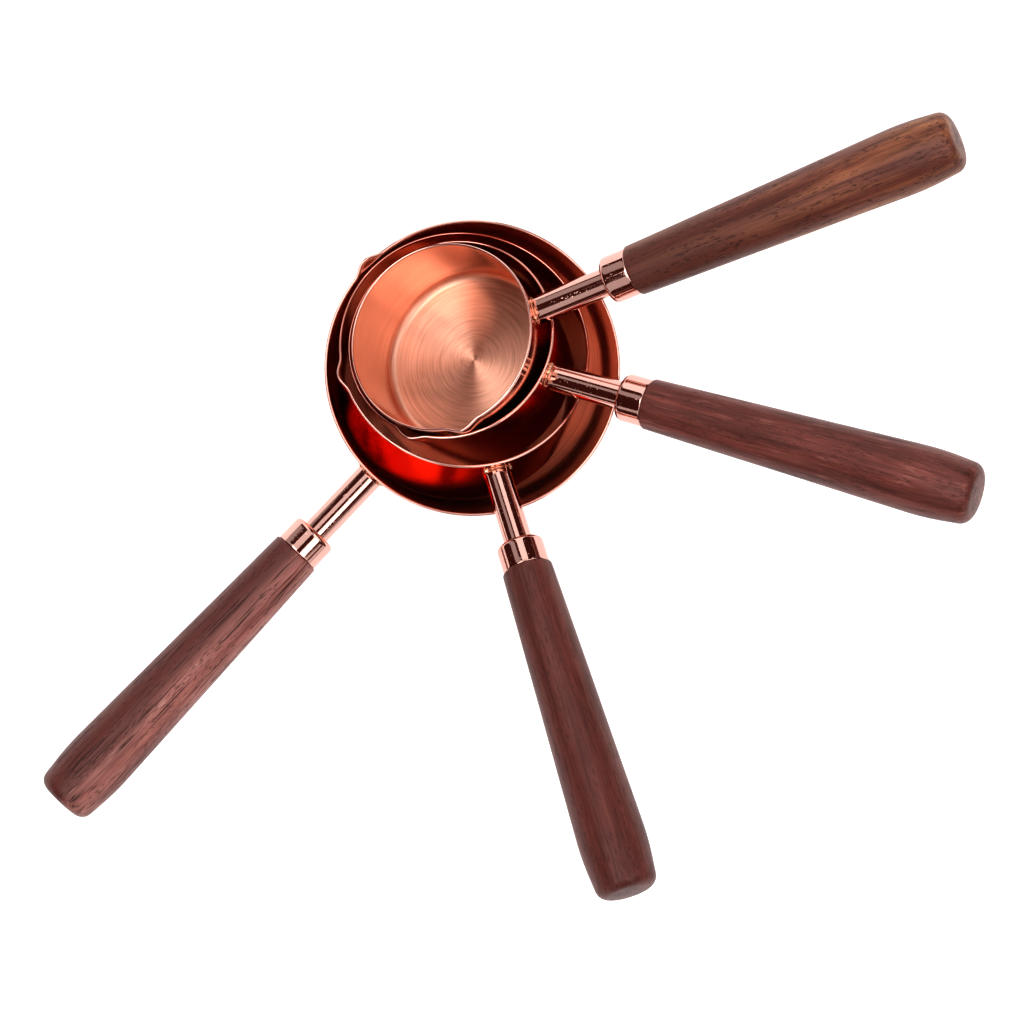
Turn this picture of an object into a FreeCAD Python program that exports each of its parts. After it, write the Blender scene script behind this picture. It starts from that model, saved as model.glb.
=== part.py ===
"""Set of four round measuring cups, nested in one another with their handles fanned out.

Each cup is a thin pressed bowl with a small pouring lip, a round tube welded below the rim,
a turned collar on the tube, and a wooden handle held by a threaded stud inside.
Lengths are in millimetres and angles in degrees. The origin is the centre of the largest
cup's flat base, and +Z is up.
"""
import FreeCAD, Part
import math
import os
import Sketcher

CUPS = ("one_cup", "half_cup", "third_cup", "quarter_cup")

SAME_PLACE = 0.01     # edges this near to where they should be are the ones meant
HOLLOW_SHARE = 0.5    # a bowl that keeps more than this of its block was not hollowed out

doc = FreeCAD.newDocument("MeasuringCups")

# ---------------------------------------------------------------------------
# Driving dimensions
# ---------------------------------------------------------------------------

# Each cup: outer radius at the rim, outside height, and how it lies in the nest: where the
# centre of its base is, the bearing of its handle, and how far and which way its axis leans.
CUP_DIMENSIONS = {
    "one_cup": dict(rim=42.0, tall=47.8, east=0.0, north=0.0, up=0.0,
                    bearing=-133.6, lean=0.0, toward=0.0),
    "half_cup": dict(rim=35.85, tall=33.4, east=-4.66, north=-5.97, up=12.9,
                     bearing=-75.4, lean=21.1, toward=78.1),
    "third_cup": dict(rim=30.0, tall=30.6, east=0.83, north=-2.1, up=21.05,
                      bearing=-19.9, lean=24.9, toward=124.4),
    "quarter_cup": dict(rim=27.35, tall=27.8, east=1.02, north=2.02, up=30.1,
                        bearing=17.0, lean=26.7, toward=145.5),
}

SHARED_DIMENSIONS = dict(
    sheet_thickness=0.8,      # of the pressed steel
    wall_draft=0.5,           # how much smaller the base's radius is than the rim's
    base_corner=3.0,          # outer radius where the wall turns into the base
    lip_radius=6.5,           # of the pouring lip's rounded trough
    lip_reach=1.6,            # how far the lip stands out of the rim
    lip_drop=11.0,            # how far down the wall the trough fades out
    lip_bearing=-91.0,        # of the lip, from the handle
    stem_radius=4.0,
    stem_wall=0.8,
    stem_length=22.8,         # from the bowl's wall to the collar
    stem_rise=5.4,            # upward slope of the stem from the rim's plane
    stem_below_rim=7.0,       # of the stem's axis, at the wall
    stem_cope=3.0,            # spare length inside the wall, cut off when the stem is coped
    weld_radius=0.9,          # of the bead's round section
    weld_offset=0.36,         # of the bead's middle line from the stem's surface
    collar_radius=6.7,
    collar_length=8.1,
    collar_front=1.6,         # thickness of the collar's front wall
    collar_shoulder=1.4,      # rounding of the collar's front edge
    collar_lip=0.25,          # rounding of the collar's back edge
    socket_radius=5.9,        # of the socket that takes the handle's tenon
    plug_length=10.0,
    stud_radius=2.5,
    stud_length=48.0,
    stud_point=0.6,           # chamfer of the stud's ends
    handle_length=97.0,
    handle_start=7.15,        # radius at the collar
    handle_swell=9.55,        # largest radius
    handle_swell_back=13.0,   # from the largest radius to the end face
    handle_end=8.3,           # radius at the end face, before its edge is rounded
    handle_end_round=3.3,
    handle_start_round=0.6,
    handle_crown=40.0,        # radius that blends the two tapers
)

sheet = doc.addObject("Spreadsheet::Sheet", "Dims")
row = 0


def put(alias, value):
    """Give the sheet one more named number."""
    global row
    row += 1
    sheet.set("A%d" % row, alias)
    sheet.set("B%d" % row, str(value))
    sheet.setAlias("B%d" % row, alias)


for alias, value in SHARED_DIMENSIONS.items():
    put(alias, value)
for cup in CUPS:
    for word, value in CUP_DIMENSIONS[cup].items():
        put("%s_%s" % (cup, word), value)
doc.recompute()


def dim(alias):
    """One driving dimension's value."""
    return float(sheet.get(alias))


# ---------------------------------------------------------------------------
# Placements
# ---------------------------------------------------------------------------

def cup_placement(cup):
    """Frame of a cup: origin at its base's centre, Z up its axis, X towards its handle."""
    spot = FreeCAD.Vector(dim(cup + "_east"), dim(cup + "_north"), dim(cup + "_up"))
    toward = math.radians(dim(cup + "_toward"))
    hinge_line = FreeCAD.Vector(-math.sin(toward), math.cos(toward), 0)
    lean = FreeCAD.Rotation(hinge_line, dim(cup + "_lean"))
    turn = FreeCAD.Rotation(FreeCAD.Vector(0, 0, 1), dim(cup + "_bearing"))
    return FreeCAD.Placement(spot, lean.multiply(turn))


def stem_height(cup):
    """Height of the stem's axis above the cup's base, where it meets the wall."""
    return dim(cup + "_tall") - dim("stem_below_rim")


def stem_root_radius(cup):
    """Outer radius of the bowl's wall at the stem's height."""
    return dim(cup + "_rim") - dim("wall_draft") * dim("stem_below_rim") / dim(cup + "_tall")


def stem_in_cup(cup):
    """Frame of a stem within its cup: origin on the bowl's wall, Z out along the stem."""
    root = FreeCAD.Vector(stem_root_radius(cup), 0, stem_height(cup))
    tip_over = FreeCAD.Rotation(FreeCAD.Vector(0, 1, 0), 90 - dim("stem_rise"))
    return FreeCAD.Placement(root, tip_over)


def stem_placement(cup):
    """Frame of a stem: origin on the bowl's wall, Z out along the stem and the handle."""
    return cup_placement(cup).multiply(stem_in_cup(cup))


# ---------------------------------------------------------------------------
# PartDesign helpers
# ---------------------------------------------------------------------------

def new_body(name, placement):
    body = doc.addObject("PartDesign::Body", name)
    body.Label = name
    body.Placement = placement
    return body


def plane_of(body, role):
    for feature in body.Origin.OriginFeatures:
        if feature.Role == role:
            return feature
    raise ValueError("no plane %s" % role)


def bind(feature, **formulas):
    """Bind properties of a feature to formulas on the sheet."""
    for prop, formula in formulas.items():
        feature.setExpression(prop, formula)


def outline_sketch(body, name, corners):
    """Closed outline in the body's XZ plane.

    Each corner is a pair of formulas, its distance from the Z axis and its height.
    """
    sketch = body.newObject("Sketcher::SketchObject", name)
    sketch.AttachmentSupport = (plane_of(body, "XZ_Plane"), [""])
    sketch.MapMode = "FlatFace"
    points = []
    for across, height in corners:
        points.append(FreeCAD.Vector(evaluate(across), evaluate(height), 0))
    count = len(points)
    for index in range(count):
        sketch.addGeometry(Part.LineSegment(points[index], points[(index + 1) % count]), False)
    for index in range(count):
        sketch.addConstraint(Sketcher.Constraint("Coincident", index, 2, (index + 1) % count, 1))
    for index, (across, height) in enumerate(corners):
        fix_corner(sketch, index, "DistanceX", -2, across, points[index].x)
        fix_corner(sketch, index, "DistanceY", -1, height, points[index].y)
    return sketch


def fix_corner(sketch, index, kind, axis, formula, value):
    """Hold one coordinate of a corner: on an axis, or at a distance given by a formula."""
    if formula == "0":
        sketch.addConstraint(Sketcher.Constraint("PointOnObject", index, 1, axis))
        return
    place = sketch.addConstraint(Sketcher.Constraint(kind, -1, 1, index, 1, value))
    sketch.setExpression("Constraints[%d]" % place, formula)


def evaluate(formula):
    """Value of a formula on the sheet."""
    return float(sheet.evalExpression(formula.replace("Dims.", "")))


def turned(body, name, corners, cut=False):
    """Turn an outline about the body's Z axis, as a solid or as a groove."""
    sketch = outline_sketch(body, name + "Outline", corners)
    kind = "PartDesign::Groove" if cut else "PartDesign::Revolution"
    feature = body.newObject(kind, name)
    feature.Profile = sketch
    feature.ReferenceAxis = (sketch, ["V_Axis"])
    feature.Angle = 360
    doc.recompute()
    return feature


def primitive(body, kind, name, placement, **formulas):
    """One of PartDesign's primitive solids, placed in the body's frame."""
    feature = body.newObject("PartDesign::" + kind, name)
    feature.Placement = placement
    bind(feature, **formulas)
    doc.recompute()
    return feature


def round_circles(body, name, radius_formula, rings):
    """Round the circular edges that lie about the Z axis at the given radii and heights."""
    base = body.Tip
    names = []
    for index, edge in enumerate(base.Shape.Edges, start=1):
        if edge.Curve.TypeId != "Part::GeomCircle":
            continue
        centre = edge.Curve.Center
        for across, height in rings:
            misses = (
                abs(edge.Curve.Radius - across),
                abs(centre.z - height),
                math.hypot(centre.x, centre.y),
            )
            if max(misses) < SAME_PLACE:
                names.append("Edge%d" % index)
    if len(names) < len(rings):
        raise ValueError("%s: %d edges for %d rings" % (body.Label, len(names), len(rings)))
    feature = body.newObject("PartDesign::Fillet", name)
    feature.Base = (base, names)
    bind(feature, Radius=radius_formula)
    doc.recompute()
    return feature


# ---------------------------------------------------------------------------
# The pieces of one cup
# ---------------------------------------------------------------------------

def wall_cone(body, cup, name, placement):
    """Cut the outside of the cup's wall away, so that a piece ends on the wall."""
    return primitive(
        body, "SubtractiveCone", name, placement,
        Radius1="Dims.%s_rim - Dims.wall_draft" % cup,
        Radius2="Dims.%s_rim" % cup,
        Height="Dims.%s_tall" % cup,
    )


def lip_cone(body, cup, kind, name, inset):
    """The trough of the pouring lip: a round cone that fades out down the wall."""
    middle = dim(cup + "_rim") + dim("lip_reach") - dim("lip_radius")
    bearing = math.radians(dim("lip_bearing"))
    foot = FreeCAD.Vector(middle * math.cos(bearing), middle * math.sin(bearing),
                          dim(cup + "_tall") - dim("lip_drop"))
    return primitive(
        body, kind, name, FreeCAD.Placement(foot, FreeCAD.Rotation()),
        Radius1="Dims.lip_radius - Dims.lip_reach - Dims.wall_draft" + inset,
        Radius2="Dims.lip_radius" + inset,
        Height="Dims.lip_drop",
    )


def make_bowl(cup):
    """Pressed bowl: flat base, nearly straight wall, and a pouring lip in the rim."""
    body = new_body(cup + "_bowl", cup_placement(cup))
    rim = "Dims.%s_rim" % cup
    tall = "Dims.%s_tall" % cup
    foot = rim + " - Dims.wall_draft"
    turned(body, "Outside", [("0", "0"), (foot, "0"), (rim, tall), ("0", tall)])
    lip_cone(body, cup, "AdditiveCone", "LipOutside", "")
    inside = " - Dims.sheet_thickness"
    outside_volume = body.Tip.Shape.Volume
    turned(body, "Inside", [
        ("0", "Dims.sheet_thickness"),
        (foot + inside, "Dims.sheet_thickness"),
        (rim + inside, tall),
        ("0", tall),
    ], cut=True)
    if body.Tip.Shape.Volume > HOLLOW_SHARE * outside_volume:
        raise ValueError("%s: the inside was not cut" % cup)
    lip_cone(body, cup, "SubtractiveCone", "LipInside", inside)
    foot_radius = dim(cup + "_rim") - dim("wall_draft")
    inner_ring = (foot_radius - dim("sheet_thickness"), dim("sheet_thickness"))
    round_circles(body, "InnerCorner", "Dims.base_corner - Dims.sheet_thickness", [inner_ring])
    round_circles(body, "BaseCorner", "Dims.base_corner", [(foot_radius, 0.0)])
    return body


def make_stem(cup):
    """Round tube, coped to the bowl's wall and ending inside the collar."""
    body = new_body(cup + "_stem", stem_placement(cup))
    inner = "Dims.stem_radius - Dims.stem_wall"
    end = "Dims.stem_length + Dims.collar_front"
    whole = end + " + Dims.stem_cope"
    start = FreeCAD.Placement(FreeCAD.Vector(0, 0, -dim("stem_cope")), FreeCAD.Rotation())
    primitive(body, "AdditiveCylinder", "Tube", start, Radius="Dims.stem_radius", Height=whole)
    primitive(body, "SubtractiveCylinder", "Bore", start, Radius=inner, Height=whole)
    wall_cone(body, cup, "Cope", stem_in_cup(cup).inverse())
    return body


def make_weld(cup):
    """Bead of weld metal in the corner between the stem and the bowl's wall."""
    body = new_body(cup + "_weld_bead", stem_placement(cup))
    primitive(
        body, "AdditiveTorus", "Bead", FreeCAD.Placement(),
        Radius1="Dims.stem_radius + Dims.weld_offset", Radius2="Dims.weld_radius",
    )
    below = FreeCAD.Placement(FreeCAD.Vector(0, 0, -2 * dim("weld_radius")), FreeCAD.Rotation())
    primitive(
        body, "SubtractiveCylinder", "StemHole", below,
        Radius="Dims.stem_radius", Height="4 * Dims.weld_radius",
    )
    wall_cone(body, cup, "WallSide", stem_in_cup(cup).inverse())
    return body


def make_collar(cup):
    """Turned collar: a front wall with a hole for the stem, and a socket for the handle."""
    body = new_body(cup + "_ferrule", stem_placement(cup))
    front = "Dims.stem_length"
    inner_face = front + " + Dims.collar_front"
    back = front + " + Dims.collar_length"
    turned(body, "Collar", [
        ("Dims.stem_radius", front),
        ("Dims.collar_radius", front),
        ("Dims.collar_radius", back),
        ("Dims.socket_radius", back),
        ("Dims.socket_radius", inner_face),
        ("Dims.stem_radius", inner_face),
    ])
    front_ring = (dim("collar_radius"), dim("stem_length"))
    round_circles(body, "Shoulder", "Dims.collar_shoulder", [front_ring])
    back_ring = (dim("collar_radius"), dim("stem_length") + dim("collar_length"))
    round_circles(body, "BackEdge", "Dims.collar_lip", [back_ring])
    return body


def make_plug(cup):
    """Plug in the stem's end, bored through to take the stud's thread."""
    body = new_body(cup + "_stem_plug", stem_placement(cup))
    end = "Dims.stem_length + Dims.collar_front"
    begin = end + " - Dims.plug_length"
    turned(body, "Plug", [
        ("Dims.stud_radius", begin),
        ("Dims.stem_radius - Dims.stem_wall", begin),
        ("Dims.stem_radius - Dims.stem_wall", end),
        ("Dims.stud_radius", end),
    ])
    return body


def make_stud(cup):
    """Threaded stud, modelled at its thread's outer size, from the plug into the handle."""
    body = new_body(cup + "_stud", stem_placement(cup))
    begin = "Dims.stem_length + Dims.collar_front - Dims.plug_length"
    end = begin + " + Dims.stud_length"
    tip = "Dims.stud_radius - Dims.stud_point"
    turned(body, "Stud", [
        ("0", begin),
        (tip, begin),
        ("Dims.stud_radius", begin + " + Dims.stud_point"),
        ("Dims.stud_radius", end + " - Dims.stud_point"),
        (tip, end),
        ("0", end),
    ])
    return body


def make_handle(cup):
    """Turned wooden handle: a tenon in the collar, a slow swell, and a rounded end."""
    body = new_body(cup + "_handle", stem_placement(cup))
    tenon = "Dims.stem_length + Dims.collar_front"
    start = "Dims.stem_length + Dims.collar_length"
    end = start + " + Dims.handle_length"
    widest = end + " - Dims.handle_swell_back"
    hole_end = tenon + " + Dims.stud_length - Dims.plug_length"
    turned(body, "Handle", [
        ("Dims.stud_radius", tenon),
        ("Dims.socket_radius", tenon),
        ("Dims.socket_radius", start),
        ("Dims.handle_start", start),
        ("Dims.handle_swell", widest),
        ("Dims.handle_end", end),
        ("0", end),
        ("0", hole_end),
        ("Dims.stud_radius", hole_end),
    ])
    start_height = dim("stem_length") + dim("collar_length")
    end_height = start_height + dim("handle_length")
    round_circles(body, "Crown", "Dims.handle_crown",
                  [(dim("handle_swell"), end_height - dim("handle_swell_back"))])
    round_circles(body, "EndEdge", "Dims.handle_end_round", [(dim("handle_end"), end_height)])
    round_circles(body, "StartEdge", "Dims.handle_start_round",
                  [(dim("handle_start"), start_height)])
    return body


PIECES = (make_bowl, make_stem, make_weld, make_collar, make_plug, make_stud, make_handle)
bodies = []
for cup in CUPS:
    for make_piece in PIECES:
        bodies.append(make_piece(cup))
doc.recompute()

# ---------------------------------------------------------------------------
# Checks and export
# ---------------------------------------------------------------------------

for thing in doc.Objects:
    if "Invalid" in thing.State or "Error" in thing.State:
        raise ValueError("%s failed: %s" % (thing.Label, thing.State))

os.makedirs("parts", exist_ok=True)
for body in bodies:
    shape = body.Shape
    if shape.isNull() or not shape.isValid() or len(shape.Solids) != 1:
        raise ValueError("%s has no single valid solid" % body.Label)
    shape.exportStep("parts/%s.step" % body.Label)
    print("%-26s %10.1f mm3" % (body.Label, shape.Volume))
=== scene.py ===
"""The looks of a nested set of four copper measuring cups with walnut handles.

Every piece of the CAD frame that shows is made again here as a finely divided mesh with a
worked edge, and takes its place and size from the frame. Lengths are in metres.
"""
import bpy
import math
from mathutils import Matrix, Vector, noise


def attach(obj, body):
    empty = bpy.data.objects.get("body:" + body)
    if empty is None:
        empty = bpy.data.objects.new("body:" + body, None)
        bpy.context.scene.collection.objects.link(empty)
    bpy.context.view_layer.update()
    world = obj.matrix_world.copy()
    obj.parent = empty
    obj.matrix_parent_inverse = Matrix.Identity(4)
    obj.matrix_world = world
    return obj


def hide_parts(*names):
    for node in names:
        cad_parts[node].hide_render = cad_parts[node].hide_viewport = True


MM = 0.001
CUPS = ("one_cup", "half_cup", "third_cup", "quarter_cup")

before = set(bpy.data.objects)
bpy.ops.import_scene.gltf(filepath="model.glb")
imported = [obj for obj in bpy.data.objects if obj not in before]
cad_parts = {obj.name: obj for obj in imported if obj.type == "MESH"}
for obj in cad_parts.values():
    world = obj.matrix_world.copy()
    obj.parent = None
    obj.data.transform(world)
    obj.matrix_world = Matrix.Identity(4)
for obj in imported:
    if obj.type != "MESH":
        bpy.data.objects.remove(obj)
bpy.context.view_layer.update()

# ---------------------------------------------------------------------------
# Places and sizes, read from the frame
# ---------------------------------------------------------------------------


def vertices_of(node):
    return [vertex.co.copy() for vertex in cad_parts[node].data.vertices]


def middle_of(node):
    """Centre of a turned piece: the mean of its faces' centres, weighted by their areas."""
    total = Vector()
    area = 0.0
    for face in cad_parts[node].data.polygons:
        total += face.center * face.area
        area += face.area
    return total / area


def base_disc(bowl):
    """Centre and upward normal of a bowl's flat outer base."""
    groups = {}
    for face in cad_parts[bowl].data.polygons:
        key = tuple(round(part, 2) for part in face.normal)
        if key[2] < 0:
            groups.setdefault(key, []).append(face)
    faces = max(groups.values(), key=lambda group: sum(face.area for face in group))
    area = sum(face.area for face in faces)
    centre = Vector()
    normal = Vector()
    for face in faces:
        centre += face.center * (face.area / area)
        normal -= face.normal * (face.area / area)
    return centre, normal.normalized()


def frame_of(origin, along, beside):
    """Matrix with its Z along a direction, and its X as near as may be to another."""
    z_axis = along.normalized()
    x_axis = (beside - z_axis * beside.dot(z_axis)).normalized()
    y_axis = z_axis.cross(x_axis)
    place = Matrix((x_axis, y_axis, z_axis)).transposed().to_4x4()
    place.translation = origin
    return place


def cup_frame(cup):
    """Origin at the base's centre, Z up the cup's axis, X towards the handle."""
    centre, normal = base_disc(cup + "_bowl")
    return frame_of(centre, normal, middle_of(cup + "_stud") - centre)


def stem_frame(cup, cup_place):
    """Origin on the cup's axis, Z out along the stem and the handle, X upwards."""
    plug = middle_of(cup + "_stem_plug")
    along = (middle_of(cup + "_stud") - plug).normalized()
    out = cup_place.to_3x3() @ Vector((1, 0, 0))
    home = cup_place.translation
    reach = (plug - home).dot(out) / along.dot(out)
    return frame_of(plug - along * reach, along, cup_place.to_3x3() @ Vector((0, 0, 1)))


def span(node, place):
    """Lowest and highest Z, and the largest radius, of a node in a frame of its own."""
    back = place.inverted()
    points = [back @ point for point in vertices_of(node)]
    low = min(point.z for point in points)
    high = max(point.z for point in points)
    return low, high, max(math.hypot(point.x, point.y) for point in points)


# ---------------------------------------------------------------------------
# Mesh building
# ---------------------------------------------------------------------------

def piece(name, rings, place, body, node, material, wrap=True, start=None, end=None):
    """A skin over rings of points, each joined to the next, with optional closing points.

    The piece rides on a body, stands for a CAD node and takes its finish from a slot.
    """
    count = len(rings[0])
    points = [point for ring in rings for point in ring]
    faces = []
    last = len(rings) if wrap else len(rings) - 1
    for row in range(last):
        here = row * count
        there = ((row + 1) % len(rings)) * count
        for side in range(count):
            after = (side + 1) % count
            faces.append((here + side, here + after, there + after, there + side))
    for tip, row, flip in ((start, 0, True), (end, len(rings) - 1, False)):
        if tip is None:
            continue
        points.append(tip)
        centre = len(points) - 1
        for side in range(count):
            near = row * count + side
            far = row * count + (side + 1) % count
            faces.append((centre, far, near) if flip else (centre, near, far))
    mesh = bpy.data.meshes.new(name)
    mesh.from_pydata(points, [], faces)
    mesh.validate()
    mesh.polygons.foreach_set("use_smooth", [True] * len(mesh.polygons))
    mesh.materials.append(material)
    mesh.update()
    thing = bpy.data.objects.new(name, mesh)
    bpy.context.scene.collection.objects.link(thing)
    thing.matrix_world = place
    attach(thing, body)
    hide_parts(node)
    return thing


def circle(radius, height, sides, bulge=None):
    """One ring about the Z axis. bulge gives an extra radius for an angle."""
    ring = []
    for side in range(sides):
        angle = 2 * math.pi * side / sides
        across = radius + (bulge(angle) if bulge else 0.0)
        ring.append(Vector((across * math.cos(angle), across * math.sin(angle), height)))
    return ring


def arc(centre_across, centre_height, radius, from_degrees, to_degrees, steps):
    """Points of an outline's arc, as pairs of radius and height."""
    outline = []
    for step in range(steps + 1):
        angle = math.radians(from_degrees + (to_degrees - from_degrees) * step / steps)
        outline.append((centre_across + radius * math.cos(angle),
                        centre_height + radius * math.sin(angle)))
    return outline


def line(start, end, steps):
    """Points of an outline's straight stretch, without its last point."""
    return [(start[0] + (end[0] - start[0]) * step / steps,
             start[1] + (end[1] - start[1]) * step / steps) for step in range(steps)]


def smooth(value):
    """Smooth step from 0 to 1."""
    value = min(1.0, max(0.0, value))
    return value * value * (3 - 2 * value)


# ---------------------------------------------------------------------------
# Shader building
# ---------------------------------------------------------------------------

def new_material(name):
    """An empty node material with its output, and its node tree."""
    material = bpy.data.materials.new(name)
    material.use_nodes = True
    tree = material.node_tree
    tree.nodes.clear()
    return material, tree


def add(tree, kind, *values, out=0, **settings):
    """Add a node and give its outgoing socket.

    Values fill the first inputs in order, and a setting is a property of the node, or an
    input by its name with _ for a space. A socket is linked, and anything else is set.
    """
    node = tree.nodes.new("ShaderNode" + kind)
    inputs = []
    for name, value in settings.items():
        if hasattr(node, name):
            setattr(node, name, value)
        else:
            inputs.append((name.replace("_", " "), value))
    inputs += [(index, value) for index, value in enumerate(values) if value is not None]
    for key, value in inputs:
        if isinstance(value, bpy.types.NodeSocket):
            tree.links.new(value, node.inputs[key])
        else:
            node.inputs[key].default_value = value
    return node.outputs[out] if node.outputs else None


def math_node(tree, operation, *values):
    """Arithmetic on sockets and numbers."""
    return add(tree, "Math", *values, operation=operation)


def ramp(tree, value, *stops):
    """Colour ramp. A stop is a place from 0 to 1 and a colour or a grey."""
    node = tree.nodes.new("ShaderNodeValToRGB")
    while len(node.color_ramp.elements) < len(stops):
        node.color_ramp.elements.new(0.5)
    for element, (place, colour) in zip(node.color_ramp.elements, stops):
        element.position = place
        if not isinstance(colour, tuple):
            colour = (colour, colour, colour)
        element.color = (*colour, 1)
    tree.links.new(value, node.inputs[0])
    return node.outputs[0]


def blend_colours(tree, kind, share, below, above):
    """Mix of two colours, in a share from 0 to 1. Each may be a socket or a value."""
    node = tree.nodes.new("ShaderNodeMix")
    node.data_type = "RGBA"
    node.blend_type = kind
    node.clamp_factor = True
    share_input, below_input, above_input = 0, 6, 7
    for index, value in ((share_input, share), (below_input, below), (above_input, above)):
        if isinstance(value, bpy.types.NodeSocket):
            tree.links.new(value, node.inputs[index])
        elif isinstance(value, tuple):
            node.inputs[index].default_value = (*value, 1)
        else:
            node.inputs[index].default_value = value
    return node.outputs[2]


def finish_material(tree, **inputs):
    """The surface shader and the material's output."""
    surface = add(tree, "BsdfPrincipled", **inputs)
    add(tree, "OutputMaterial", surface)


# ---------------------------------------------------------------------------
# Materials
# ---------------------------------------------------------------------------

COPPER = (0.95, 0.59, 0.51)                 # rolled rims and the base of the weld's colour
TUBE_COPPER = (0.78, 0.48, 0.42)
BOWL_COPPER = (0.94, 0.54, 0.41)
WELD_GOLD = (0.95, 0.62, 0.40)
STEEL = (0.60, 0.61, 0.63)
BRUSH_REACH = 1 / 180       # height within which the base's turned finish fades out
WALNUT_PORE = (0.040, 0.013, 0.011)


def bowl_copper(name, seed, tall):
    """Copper plate over spun steel: bright walls, and a base turned in fine rings.

    The rings stretch highlights across themselves, so bright fans open on the base.
    """
    material, tree = new_material(name)
    spot = add(tree, "TexCoord", out=3)
    split = tree.nodes.new("ShaderNodeSeparateXYZ")
    tree.links.new(spot, split.inputs[0])
    across_x, across_y, height = split.outputs
    turned = add(tree, "CombineXYZ", math_node(tree, "MULTIPLY", across_y, -1.0), across_x, 0.0)
    tangent = add(tree, "VectorTransform", turned, vector_type="VECTOR",
                  convert_from="OBJECT", convert_to="WORLD")
    flat = add(tree, "CombineXYZ", across_x, across_y, 0.0)
    radius = add(tree, "VectorMath", flat, operation="LENGTH", out=1)
    bearing = math_node(tree, "ARCTAN2", across_y, across_x)
    run = math_node(tree, "ADD", radius, height)

    def rings(per_metre, breaks, detail):
        """Noise drawn out along the rings, per_metre lines across and a few breaks round."""
        lines = math_node(tree, "MULTIPLY", run, per_metre)
        along = math_node(tree, "MULTIPLY", bearing, breaks)
        place = add(tree, "CombineXYZ", lines, along, float(seed))
        return add(tree, "TexNoise", Vector=place, Scale=1.0, Detail=detail, Roughness=0.6)

    fine = rings(per_metre=2500.0, breaks=0.9, detail=2.0)
    coarse = rings(per_metre=1200.0, breaks=1.3, detail=1.0)
    cloud = add(tree, "TexNoise", Vector=spot, Scale=90.0, Detail=2.0)
    lines = blend_colours(tree, "MIX", 0.42, fine, coarse)
    low = math_node(tree, "DIVIDE", height, BRUSH_REACH)
    base_share = ramp(tree, low, (0.42, 1.0), (0.80, 0.0))
    rim_share = ramp(tree, math_node(tree, "DIVIDE", height, tall), (0.974, 0.0), (0.982, 1.0))
    roughness = math_node(
        tree, "ADD",
        math_node(tree, "MULTIPLY_ADD", base_share, 0.24, 0.11),
        math_node(tree, "MULTIPLY", math_node(tree, "SUBTRACT", lines, 0.5),
                  math_node(tree, "MULTIPLY_ADD", base_share, 0.10, 0.03)),
    )
    strength = math_node(tree, "MULTIPLY_ADD", base_share, 0.06, 0.03)
    normal = add(tree, "Bump", Strength=strength, Distance=0.0001, Height=lines)
    tint = ramp(tree, lines, (0.36, (0.74, 0.66, 0.63)), (0.60, (1.0, 1.0, 1.0)))
    plate = blend_colours(tree, "MIX", rim_share, BOWL_COPPER, COPPER)
    tint = blend_colours(tree, "MULTIPLY", math_node(tree, "MULTIPLY_ADD", base_share, 0.7, 0.15),
                         plate, tint)
    worn = ramp(tree, cloud, (0.35, (0.96, 0.94, 0.93)), (0.65, (1.0, 1.0, 1.0)))
    colour = blend_colours(tree, "MULTIPLY", 1.0, tint, worn)
    finish_material(tree, Base_Color=colour, Metallic=1.0, Roughness=roughness,
                    Anisotropic=math_node(tree, "MULTIPLY_ADD", base_share, 0.35, 0.55),
                    Anisotropic_Rotation=0.25, Tangent=tangent, Normal=normal)
    return material


def polished_copper(name, seed):
    """Bright plated tube and collar, with the slight unevenness and pits of plating."""
    material, tree = new_material(name)
    spot = add(tree, "TexCoord", out=3)
    place = add(tree, "Mapping", spot, Location=(seed, seed, seed))
    peel = add(tree, "TexNoise", Vector=place, Scale=900.0, Detail=2.0)
    wave = add(tree, "TexNoise", Vector=place, Scale=160.0, Detail=1.0)
    specks = add(tree, "TexNoise", Vector=place, Scale=1500.0, Detail=1.0)
    pits = ramp(tree, specks, (0.68, 0.0), (0.76, 1.0))
    surface = math_node(tree, "MULTIPLY_ADD", peel, 0.30, wave)
    surface = math_node(tree, "SUBTRACT", surface, math_node(tree, "MULTIPLY", pits, 0.8))
    normal = add(tree, "Bump", Strength=0.10, Distance=0.0002, Height=surface)
    roughness = math_node(tree, "MULTIPLY_ADD", pits, 0.25, 0.07)
    tint = ramp(tree, wave, (0.3, (0.95, 0.93, 0.92)), (0.7, (1.0, 1.0, 1.0)))
    colour = blend_colours(tree, "MULTIPLY", 1.0, TUBE_COPPER, tint)
    finish_material(tree, Base_Color=colour, Metallic=1.0, Roughness=roughness, Normal=normal)
    return material


def weld_metal():
    """Plated weld: lumpy and a little more golden than the tube."""
    material, tree = new_material("weld_metal")
    spot = add(tree, "TexCoord", out=3)
    lumps = add(tree, "TexNoise", Vector=spot, Scale=1400.0, Detail=3.0)
    normal = add(tree, "Bump", Strength=0.5, Distance=0.0003, Height=lumps)
    colour = ramp(tree, lumps, (0.30, COPPER), (0.62, WELD_GOLD))
    roughness = math_node(tree, "MULTIPLY_ADD", lumps, 0.25, 0.10)
    finish_material(tree, Base_Color=colour, Metallic=1.0, Roughness=roughness, Normal=normal)
    return material


def plain_steel():
    """Machined steel of the hidden plug and stud, with fine turning marks."""
    material, tree = new_material("plain_steel")
    spot = add(tree, "TexCoord", out=3)
    place = add(tree, "Mapping", spot, Scale=(300.0, 300.0, 5000.0))
    marks = add(tree, "TexNoise", Vector=place, Scale=1.0, Detail=2.0)
    colour = ramp(tree, marks, (0.3, (0.50, 0.51, 0.53)), (0.7, STEEL))
    roughness = math_node(tree, "MULTIPLY_ADD", marks, 0.2, 0.25)
    normal = add(tree, "Bump", Strength=0.3, Distance=0.0001, Height=marks)
    finish_material(tree, Base_Color=colour, Metallic=1.0, Roughness=roughness, Normal=normal)
    return material


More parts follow.
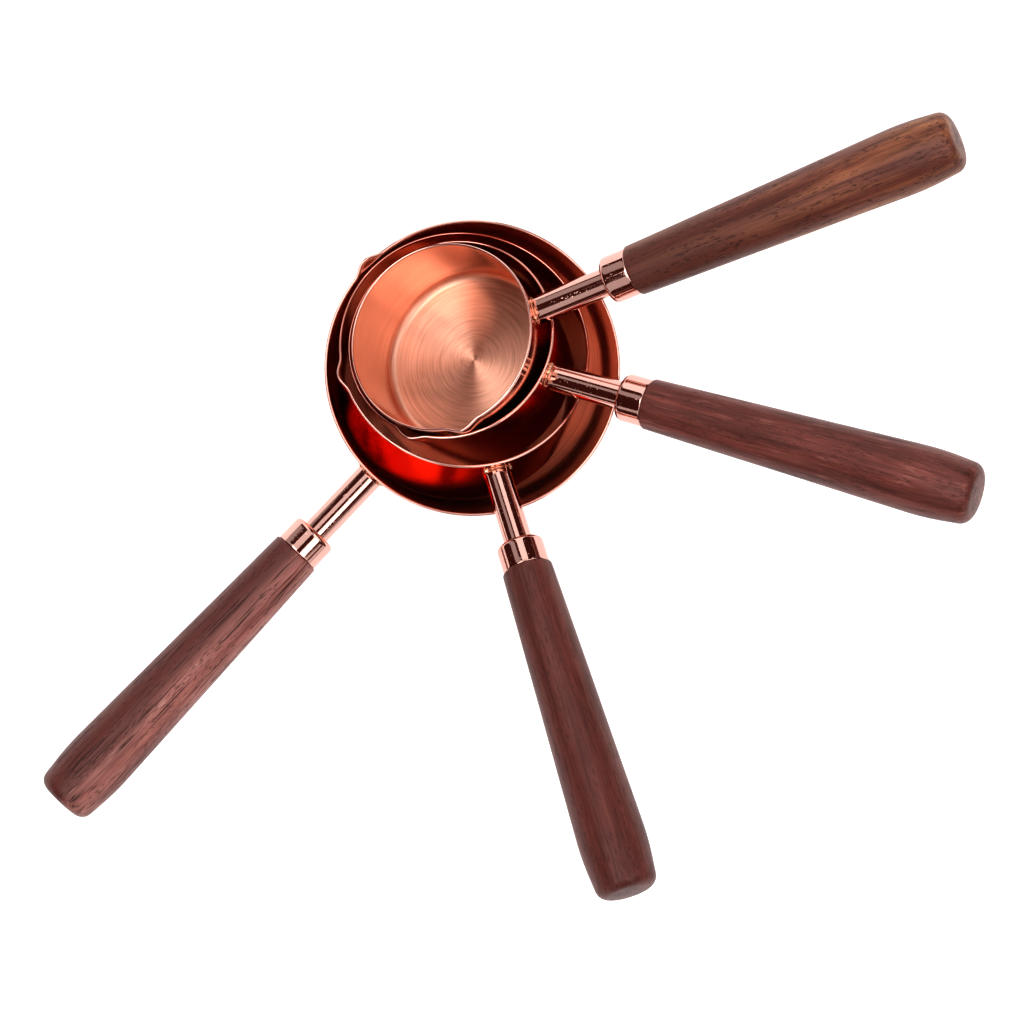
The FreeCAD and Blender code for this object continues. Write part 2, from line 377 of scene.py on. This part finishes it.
def walnut(name, seed, dark, middle, light, gold, gold_share, lines, pores, flecks, side, fade):
    """Oiled walnut with its grain along Z.

    Four tones and the share of golden streaks, then how strong its dark lines, pores and pale
    flecks are, how dark its +Y side is, and how dark the collar's end is.
    """
    material, tree = new_material(name)
    spot = add(tree, "TexCoord", out=3)
    split = tree.nodes.new("ShaderNodeSeparateXYZ")
    tree.links.new(spot, split.inputs[0])
    _, aside, along = split.outputs
    moved = add(tree, "Mapping", spot, Location=(seed * 0.13, seed * 0.07, seed * 0.31))
    warp = add(tree, "TexNoise", Vector=add(tree, "Mapping", moved, Scale=(60, 60, 16)),
               Scale=1.0, Detail=2.0, out=1)
    warped = add(tree, "VectorMath", moved,
                 add(tree, "VectorMath", warp, (0.0045, 0.0045, 0.0), operation="MULTIPLY"),
                 operation="ADD")

    def grain(across, lengthwise, detail, roughness=0.55, source=warped):
        """Noise drawn out along the handle."""
        place = add(tree, "Mapping", source, Scale=(across, across, lengthwise))
        return add(tree, "TexNoise", Vector=place, Scale=1.0, Detail=detail,
                   Roughness=roughness)

    body = ramp(tree, grain(230.0, 11.0, 3.0), (0.30, dark), (0.50, middle), (0.72, light))
    glow = ramp(tree, grain(150.0, 12.0, 2.0), (0.50, 0.0), (0.68, 1.0))
    body = blend_colours(tree, "MIX", math_node(tree, "MULTIPLY", glow, gold_share), body, gold)
    fibres = grain(1300.0, 50.0, 4.0, 0.7)
    thread = ramp(tree, fibres, (0.30, (0.62, 0.57, 0.55)), (0.50, (1.0, 1.0, 1.0)),
                  (0.72, (1.28, 1.25, 1.24)))
    body = blend_colours(tree, "MULTIPLY", 0.8, body, thread)
    shade = ramp(tree, grain(70.0, 45.0, 3.0, source=moved),
                 (0.30, (0.74, 0.70, 0.70)), (0.70, (1.18, 1.14, 1.12)))
    body = blend_colours(tree, "MULTIPLY", 0.8, body, shade)
    pale = ramp(tree, grain(1000.0, 95.0, 2.0), (0.60, 0.0), (0.72, flecks))
    body = blend_colours(tree, "MIX", pale, body, gold)
    dark_side = ramp(tree, math_node(tree, "MULTIPLY_ADD", aside, 100.0, 0.5),
                     (0.38, 0.0), (0.66, side))
    body = blend_colours(tree, "MIX", dark_side, body, dark)
    collar_end = ramp(tree, math_node(tree, "MULTIPLY", along, 5.0), (0.38, fade), (0.62, 0.0))
    body = blend_colours(tree, "MIX", collar_end, body, dark)
    line_field = ramp(tree, grain(1500.0, 40.0, 3.0, 0.6, source=moved),
                      (0.35, lines), (0.45, 0.0))
    pore_field = math_node(tree, "MULTIPLY",
                           ramp(tree, grain(2000.0, 520.0, 1.0), (0.56, 0.0), (0.64, pores)),
                           ramp(tree, grain(420.0, 60.0, 1.0), (0.44, 0.0), (0.54, 1.0)))
    cut = math_node(tree, "MAXIMUM", line_field, pore_field)
    colour = blend_colours(tree, "MIX", cut, body, WALNUT_PORE)
    relief = math_node(tree, "SUBTRACT", math_node(tree, "MULTIPLY", fibres, 0.5), cut)
    normal = add(tree, "Bump", Strength=0.4, Distance=0.00015, Height=relief)
    roughness = math_node(tree, "MULTIPLY_ADD", cut, 0.3, 0.42)
    finish_material(tree, Base_Color=colour, Roughness=roughness, Normal=normal,
                    Specular_IOR_Level=0.45, Coat_Weight=0.08, Coat_Roughness=0.35)
    return material


# ---------------------------------------------------------------------------
# The pieces of one cup
# ---------------------------------------------------------------------------

SHEET = 0.8 * MM           # thickness of the pressed bowl
WALL_DRAFT = 0.5 * MM      # how much smaller the base's radius is than the rim's
BASE_CORNER = 3.0 * MM     # outer radius between wall and base
LIP_DROP = 11.0 * MM       # how far down the wall the pouring lip fades out
LIP_HALF_WIDTH = 5.6 * MM
LIP_BEARING = math.radians(-91)
BOWL_SIDES = 288
TUBE_SIDES = 96


def bowl_size(cup, place):
    """Height, rim radius and the lip's reach past the rim."""
    back = place.inverted()
    points = [back @ point for point in vertices_of(cup + "_bowl")]
    tall = max(point.z for point in points)
    rim = max(math.hypot(point.x, point.y) for point in points if point.y > 0)
    reach = max(math.hypot(point.x, point.y) for point in points) - rim
    return tall, rim, reach


def make_bowl(cup, place, material):
    tall, rim, reach = bowl_size(cup, place)
    foot = rim - WALL_DRAFT
    inner_corner = BASE_CORNER - SHEET
    edge = SHEET / 2
    wall_steps, corner_steps = 40, 10
    outline = line((0.0, 0.0), (foot - BASE_CORNER, 0.0), 12)[1:]
    outline += arc(foot - BASE_CORNER, BASE_CORNER, BASE_CORNER, -90, 0, corner_steps)
    outline += line((foot, BASE_CORNER), (rim, tall - edge), wall_steps)[1:]
    outline += arc(rim - edge, tall - edge, edge, 0, 180, 8)
    outline += line((rim - SHEET, tall - edge), (foot - SHEET, SHEET + inner_corner),
                    wall_steps)[1:]
    outline += arc(foot - BASE_CORNER, SHEET + inner_corner, inner_corner, 0, -90, corner_steps)
    outline += line((foot - BASE_CORNER, SHEET), (0.0, SHEET), 24)[1:]
    rings = []
    for across, height in outline:
        fade = smooth((height - (tall - LIP_DROP)) / LIP_DROP)

        def lip(angle, fade=fade):
            aside = abs((angle - LIP_BEARING + math.pi) % (2 * math.pi) - math.pi) * rim
            if aside > LIP_HALF_WIDTH:
                return 0.0
            return reach * fade * 0.5 * (1 + math.cos(math.pi * aside / LIP_HALF_WIDTH))

        rings.append(circle(across, height, BOWL_SIDES, lip))
    return piece(cup + "_bowl_shell", rings, place, cup, cup + "_bowl",
                 material, wrap=False, start=Vector((0, 0, 0)), end=Vector((0, 0, SHEET)))


def wall_meeting(cup_place, stem_place, across, side, rim, tall):
    """Z on a line along the stem where it meets the outside of the bowl's wall."""
    to_cup = cup_place.inverted() @ stem_place
    low, high = 0.5 * rim, 1.3 * rim
    halvings = 40
    for _ in range(halvings):
        middle = (low + high) / 2
        point = to_cup @ Vector((across * math.cos(side), across * math.sin(side), middle))
        wall = rim - WALL_DRAFT * (1 - point.z / tall)
        if math.hypot(point.x, point.y) < wall:
            low = middle
        else:
            high = middle
    return low


def make_stem(cup, cup_place, place, material, rim, tall):
    """Tube whose end follows the bowl's wall."""
    _, end, outer = span(cup + "_stem", place)
    inner = outer - SHEET

    def coped(radius):
        ring = []
        for side in range(TUBE_SIDES):
            angle = 2 * math.pi * side / TUBE_SIDES
            height = wall_meeting(cup_place, place, radius, angle, rim, tall)
            ring.append(Vector((radius * math.cos(angle), radius * math.sin(angle), height)))
        return ring

    root_outer = coped(outer)
    root_inner = coped(inner)

    def between(root, radius, share):
        far = circle(radius, end, TUBE_SIDES)
        return [near.lerp(other, share) for near, other in zip(root, far)]

    steps = 24
    rings = [between(root_outer, outer, step / steps) for step in range(steps + 1)]
    rings += [between(root_inner, inner, 1 - step / steps) for step in range(steps + 1)]
    return piece(cup + "_stem_tube", rings, place, cup, cup + "_stem", material)


def make_weld(cup, cup_place, place, material, rim, tall, stem_radius, seed):
    """Uneven bead in the corner of stem and wall, with a few lumps."""
    sides = 120
    steps = 10
    smallest, swell = 0.13 * MM, 0.75 * MM
    sink = 0.12 * MM
    lumps_round, seed_step = 1.7, 3.1
    small_lumps, small_share = 2.7, 0.45
    lump_start, lump_range = 0.10, 0.40
    ripple_share = 0.06
    rings = []
    to_cup = place.inverted() @ cup_place
    for side in range(sides):
        angle = 2 * math.pi * side / sides
        out = Vector((math.cos(angle), math.sin(angle), 0))
        height = wall_meeting(cup_place, place, stem_radius, angle, rim, tall)
        corner = out * stem_radius + Vector((0, 0, height))
        next_height = wall_meeting(cup_place, place, stem_radius + MM, angle, rim, tall)
        down_wall = (out * MM + Vector((0, 0, next_height - height))).normalized()
        spot = Vector((math.cos(angle) * lumps_round, math.sin(angle) * lumps_round,
                       seed * seed_step))
        swirl = noise.noise(spot) + small_share * noise.noise(spot * small_lumps)
        lump = smooth((swirl - lump_start) / lump_range)
        size = smallest + swell * lump
        ring = [corner - (down_wall + Vector((0, 0, 1))) * sink]
        for step in range(steps + 1):
            turn = math.pi / 2 * step / steps
            ripple = 1 + ripple_share * noise.noise(spot * 4 + Vector((0, 0, turn * 2)))
            ring.append(corner + (down_wall * math.cos(turn) + Vector((0, 0, math.sin(turn))))
                        * size * ripple)
        rings.append(ring)
    return piece(cup + "_weld", rings, place, cup, cup + "_weld_bead", material)


def make_ferrule(cup, place, material, stem_radius):
    """Turned collar with a rounded front edge and a fine back edge."""
    front, back, outer = span(cup + "_ferrule", place)
    shoulder, edge = 1.4 * MM, 0.3 * MM
    front_wall = 1.6 * MM
    socket = outer - SHEET
    outline = [(stem_radius, front)]
    outline += line((stem_radius + 0.15 * MM, front), (outer - shoulder, front), 4)
    outline += arc(outer - shoulder, front + shoulder, shoulder, -90, 0, 12)
    outline += line((outer, front + shoulder), (outer, back - edge), 12)[1:]
    outline += arc(outer - edge, back - edge, edge, 0, 90, 6)
    outline += [(socket, back)]
    outline += line((socket, back), (socket, front + front_wall), 8)[1:]
    outline += [(socket, front + front_wall), (stem_radius, front + front_wall)]
    rings = [circle(across, height, TUBE_SIDES) for across, height in outline]
    return piece(cup + "_collar", rings, place, cup, cup + "_ferrule", material)


def make_stud(cup, place, material):
    """Threaded stud."""
    begin, end, outer = span(cup + "_stud", place)
    pitch, depth, taper = 0.8 * MM, 0.42 * MM, 0.6 * MM
    sides, per_turn = 24, 8
    count = round((end - begin) / pitch * per_turn)
    rings = []
    for step in range(count + 1):
        height = begin + (end - begin) * step / count
        nearest = min(height - begin, end - height)
        limit = outer - max(0.0, taper - nearest)
        ring = []
        for side in range(sides):
            phase = (height / pitch - side / sides) % 1.0
            across = min(limit, outer - depth * abs(2 * phase - 1))
            angle = 2 * math.pi * side / sides
            ring.append(Vector((across * math.cos(angle), across * math.sin(angle), height)))
        rings.append(ring)
    return piece(cup + "_threaded_stud", rings, place, cup, cup + "_stud",
                 material, wrap=False, start=Vector((0, 0, begin)), end=Vector((0, 0, end)))


HANDLE_START = 7.15 * MM        # radius at the collar
HANDLE_SWELL_BACK = 13.0 * MM   # from the widest place to the end face
HANDLE_END = 8.3 * MM           # radius at the end face, before its edge is rounded
HANDLE_SWELL = 9.55 * MM
END_ROUND = 3.3 * MM
START_ROUND = 0.6 * MM
CROWN_RUN = 5.0 * MM            # how far from the widest place the two tapers blend
END_DOME = 0.25 * MM


def make_handle(cup, place, material, collar_back, stud_radius, seed):
    """Turned handle with a tenon, a slow swell, a softly rounded end and a stud hole."""
    tenon, end, _ = span(cup + "_handle", place)
    hole_end = span(cup + "_stud", place)[1]
    socket = span(cup + "_ferrule", place)[2] - SHEET
    widest = end - HANDLE_SWELL_BACK
    outline = line((stud_radius, hole_end), (stud_radius, tenon), 8)
    outline += [(stud_radius, tenon), (socket, tenon)]
    outline += [(socket, (tenon + collar_back) / 2), (socket, collar_back)]
    outline += [(HANDLE_START - START_ROUND, collar_back)]
    outline += arc(HANDLE_START - START_ROUND, collar_back + START_ROUND, START_ROUND, -60, 0, 5)
    slope = (HANDLE_SWELL - HANDLE_START) / (widest - collar_back)
    fall = (HANDLE_SWELL - HANDLE_END) / HANDLE_SWELL_BACK
    before = (HANDLE_SWELL - slope * CROWN_RUN, widest - CROWN_RUN)
    after = (HANDLE_SWELL - fall * CROWN_RUN, widest + CROWN_RUN)
    outline += line((HANDLE_START + slope * START_ROUND, collar_back + START_ROUND), before, 60)[1:]
    crown_steps, dome_steps = 12, 8
    for step in range(crown_steps + 1):
        share = step / crown_steps
        ends = [(1 - share) ** 2, 2 * share * (1 - share), share ** 2]
        points = [before, (HANDLE_SWELL, widest), after]
        outline.append(tuple(sum(weight * point[part] for weight, point in zip(ends, points))
                             for part in (0, 1)))
    lean = math.atan(fall)
    face = end - END_DOME
    round_across = HANDLE_END - END_ROUND * (1 - math.sin(lean)) / math.cos(lean)
    edge = arc(round_across, face - END_ROUND, END_ROUND, math.degrees(lean), 90, 12)
    outline += line(after, edge[0], 6)[1:]
    outline += edge
    for step in range(1, dome_steps):
        across = round_across * (1 - step / dome_steps)
        outline.append((across, face + END_DOME * (1 - (across / round_across) ** 2)))
    wobble, wobble_start = 0.05 * MM, 4 * MM
    waves_per_metre, seed_step = 40, 7.7
    rings = []
    for across, height in outline:
        loose = (wobble * smooth((height - collar_back) / wobble_start)
                 * smooth(across / HANDLE_START))

        def uneven(angle, height=height, loose=loose):
            return loose * noise.noise(Vector((math.cos(angle), math.sin(angle),
                                               height * waves_per_metre + seed * seed_step)))

        rings.append(circle(across, height, TUBE_SIDES, uneven))
    return piece(cup + "_wood_handle", rings, place, cup, cup + "_handle", material,
                 wrap=False, start=Vector((0, 0, hole_end)), end=Vector((0, 0, end)))


# Each handle's wood, as walnut's arguments.
WOODS = {
    "one_cup": {
        "dark": (0.150, 0.042, 0.034), "middle": (0.370, 0.155, 0.132),
        "light": (0.500, 0.230, 0.195), "gold": (0.680, 0.380, 0.320), "gold_share": 0.4,
        "lines": 0.8, "pores": 0.5, "flecks": 0.45, "side": 0.9, "fade": 0.0,
    },
    "half_cup": {
        "dark": (0.105, 0.027, 0.022), "middle": (0.175, 0.052, 0.042),
        "light": (0.240, 0.080, 0.064), "gold": (0.340, 0.145, 0.115), "gold_share": 0.3,
        "lines": 0.4, "pores": 0.4, "flecks": 0.25, "side": 0.25, "fade": 0.0,
    },
    "third_cup": {
        "dark": (0.110, 0.030, 0.024), "middle": (0.205, 0.060, 0.047),
        "light": (0.300, 0.098, 0.076), "gold": (0.500, 0.215, 0.170), "gold_share": 0.22,
        "lines": 0.45, "pores": 0.4, "flecks": 0.4, "side": 0.0, "fade": 0.0,
    },
    "quarter_cup": {
        "dark": (0.120, 0.036, 0.029), "middle": (0.255, 0.094, 0.062),
        "light": (0.390, 0.160, 0.098), "gold": (0.580, 0.260, 0.115), "gold_share": 0.65,
        "lines": 0.4, "pores": 0.6, "flecks": 0.25, "side": 0.3, "fade": 0.65,
    },
}


def make_cup(cup, seed, weld, steel):
    cup_place = cup_frame(cup)
    stem_place = stem_frame(cup, cup_place)
    tall, rim, _ = bowl_size(cup, cup_place)
    stem_radius = span(cup + "_stem", stem_place)[2]
    collar_back = span(cup + "_ferrule", stem_place)[1]
    stud_radius = span(cup + "_stud", stem_place)[2]
    tube = polished_copper(cup + "_tube_copper", seed)
    make_bowl(cup, cup_place, bowl_copper(cup + "_bowl_copper", seed, tall))
    make_stem(cup, cup_place, stem_place, tube, rim, tall)
    make_weld(cup, cup_place, stem_place, weld, rim, tall, stem_radius, seed)
    make_ferrule(cup, stem_place, tube, stem_radius)
    make_stud(cup, stem_place, steel)
    wood = walnut(cup + "_walnut", seed, **WOODS[cup])
    make_handle(cup, stem_place, wood, collar_back, stud_radius, seed)
    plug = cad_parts[cup + "_stem_plug"].data
    plug.materials.clear()
    plug.materials.append(steel)


# ---------------------------------------------------------------------------
# Floor, light and camera
# ---------------------------------------------------------------------------

FLOOR_HALF = 1.8            # half the table's side, less than the panels' distance
FLOOR_DROP = 0.2 * MM       # keeps the table just clear of the set
PANEL_DISTANCE = 2.6
ROOM_GLOW = (0.066, 0.024, 0.020, 1)


def make_floor():
    """Plain pale table, softly lit from within, so that shadows on it stay faint."""
    half = FLOOR_HALF
    mesh = bpy.data.meshes.new("floor")
    corners = [(-half, -half, 0), (half, -half, 0), (half, half, 0), (-half, half, 0)]
    mesh.from_pydata(corners, [], [(0, 1, 2, 3)])
    material, tree = new_material("pale_table")
    finish_material(tree, Base_Color=(0.65, 0.65, 0.65, 1), Roughness=0.7,
                    Emission_Color=(1, 1, 1, 1), Emission_Strength=0.50)
    mesh.materials.append(material)
    floor = bpy.data.objects.new("floor", mesh)
    floor.location.z = -FLOOR_DROP
    bpy.context.scene.collection.objects.link(floor)


def make_world():
    """White surroundings for the eye, and a dark room for the metal to reflect."""
    world = bpy.data.worlds.new("studio")
    bpy.context.scene.world = world
    world.use_nodes = True
    tree = world.node_tree
    tree.nodes.clear()
    seen = add(tree, "LightPath")
    room = add(tree, "Background", ROOM_GLOW, 1.0)
    white = add(tree, "Background", (1, 1, 1, 1), 1.0)
    add(tree, "OutputWorld", add(tree, "MixShader", seen, room, white))


def studio_panel(name, azimuths, elevations, radiance):
    """Glowing card, curved about the set. Spans of angle in degrees."""
    centre_height = 0.03
    column_degrees, row_degrees = 4, 6
    columns = max(3, round((azimuths[1] - azimuths[0]) / column_degrees))
    rows = max(3, round((elevations[1] - elevations[0]) / row_degrees))
    points = []
    for column in range(columns + 1):
        turn = math.radians(azimuths[0] + (azimuths[1] - azimuths[0]) * column / columns)
        for row in range(rows + 1):
            rise = math.radians(elevations[0] + (elevations[1] - elevations[0]) * row / rows)
            points.append((PANEL_DISTANCE * math.cos(rise) * math.cos(turn),
                           PANEL_DISTANCE * math.cos(rise) * math.sin(turn),
                           PANEL_DISTANCE * math.sin(rise) + centre_height))
    faces = []
    for column in range(columns):
        for row in range(rows):
            corner = column * (rows + 1) + row
            faces.append((corner, corner + 1, corner + rows + 2, corner + rows + 1))
    mesh = bpy.data.meshes.new(name)
    mesh.from_pydata(points, [], faces)
    material, tree = new_material(name + "_glow")
    glow = add(tree, "Emission", (1, 1, 1, 1), radiance)
    add(tree, "OutputMaterial", glow)
    mesh.materials.append(material)
    panel = bpy.data.objects.new(name, mesh)
    bpy.context.scene.collection.objects.link(panel)
    panel.visible_camera = False


def make_lights():
    """Large plain panels round a dark middle: azimuths, elevations and radiance of each."""
    studio_panel("north_wall", (80, 120), (0, 50), 1.0)
    studio_panel("north_top", (60, 132), (50, 79), 0.75)
    studio_panel("north_west_top", (132, 180), (50, 79), 2.4)
    studio_panel("west_top", (180, 250), (54, 79), 1.9)
    studio_panel("south_top", (250, 300), (50, 79), 0.75)
    studio_panel("south_east_top", (-60, -24), (50, 79), 2.0)
    studio_panel("east_top", (-24, 52), (48, 79), 1.35)
    studio_panel("south_east_window", (-60, -40), (0, 50), 0.65)
    studio_panel("south_west_wall", (216, 258), (14, 54), 0.5)
    studio_panel("east_wall", (-20, 58), (32, 48), 0.7)
    studio_panel("north_west_wall", (134, 156), (0, 50), 0.4)


CAMERA_LENS = 105.53                    # focal length in mm, on a 36 mm sensor
CAMERA_PLACE = (-12.07, 4.11, 900.33)   # in mm
CAMERA_TILT = (-3.0145, -1.5641)        # X and Y of the turn from straight down, in degrees


def make_camera():
    """Camera high above the set, looking almost straight down."""
    lens = bpy.data.cameras.new("camera")
    lens.sensor_width = 36.0
    lens.lens = CAMERA_LENS
    camera = bpy.data.objects.new("camera", lens)
    bpy.context.scene.collection.objects.link(camera)
    tilt = Vector((math.radians(CAMERA_TILT[0]), math.radians(CAMERA_TILT[1]), 0))
    camera.matrix_world = (Matrix.Translation(Vector(CAMERA_PLACE) * MM)
                           @ Matrix.Rotation(tilt.length, 4, tilt.normalized()))
    bpy.context.scene.camera = camera


weld_material = weld_metal()
steel_material = plain_steel()
for number, cup_name in enumerate(CUPS, start=1):
    make_cup(cup_name, number, weld_material, steel_material)
make_floor()
make_world()
make_lights()
make_camera()
view = bpy.context.scene.view_settings
view.view_transform = "Standard"
view.look = "High Contrast"
bpy.context.scene.cycles.max_bounces = 16
bpy.context.scene.cycles.glossy_bounces = 16
